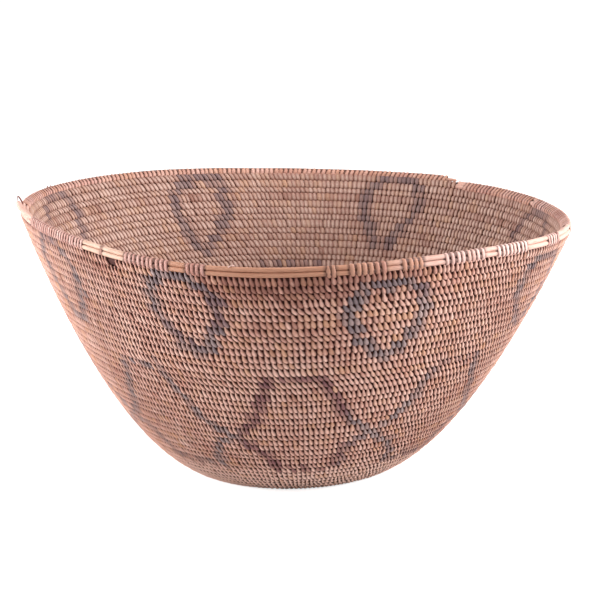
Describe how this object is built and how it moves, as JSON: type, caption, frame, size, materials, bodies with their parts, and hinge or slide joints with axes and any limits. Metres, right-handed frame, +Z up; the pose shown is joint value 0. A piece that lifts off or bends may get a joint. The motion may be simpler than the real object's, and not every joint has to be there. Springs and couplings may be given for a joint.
{
  "type": "gathering basket",
  "caption": "Deep flaring coiled gathering basket with a small round base, sewn spiral coils and a worn rim whose willow rods show between its binding stitches.",
  "frame": {"origin": "middle of the rim's outline seen from above, on the surface that the basket stands on", "axes": "+Z up out of the mouth, -Y towards the front, +X to the right"},
  "size_m": [0.4, 0.4062, 0.1972],
  "materials": {
    "sewn_coil": "split root strands sewn side by side, dry and slightly polished by handling",
    "dark_strand": "dyed root strands, matt blue-black to reddish purple",
    "bare_rod": "peeled willow, long-grained and smooth",
    "binding_strand": "split root strands, smooth on the crown and worn"
  },
  "bodies": {
    "root": {"wall_coil_1": "sewn_coil", "wall_coil_2": "sewn_coil", "wall_coil_3": "sewn_coil", "wall_coil_4": "sewn_coil", "wall_coil_5": "sewn_coil", "wall_coil_6": "sewn_coil", "heel_coil": "sewn_coil", "base_coil": "sewn_coil", "start_knot": "sewn_coil", "rim_rod_outer": "bare_rod", "rim_rod_inner": "bare_rod", "rim_rod_upper": "bare_rod", "rim_binding_01": "binding_strand", "rim_binding_02": "binding_strand", "rim_binding_03": "binding_strand", "rim_binding_04": "binding_strand", "rim_binding_05": "binding_strand", "rim_binding_06": "binding_strand", "rim_binding_07": "binding_strand", "rim_binding_08": "binding_strand", "rim_binding_09": "binding_strand", "rim_binding_10": "binding_strand", "rim_binding_11": "binding_strand", "rim_binding_12": "binding_strand", "rim_binding_13": "binding_strand", "rim_binding_14": "binding_strand", "rim_binding_15": "binding_strand"}
  },
  "joints": []
}
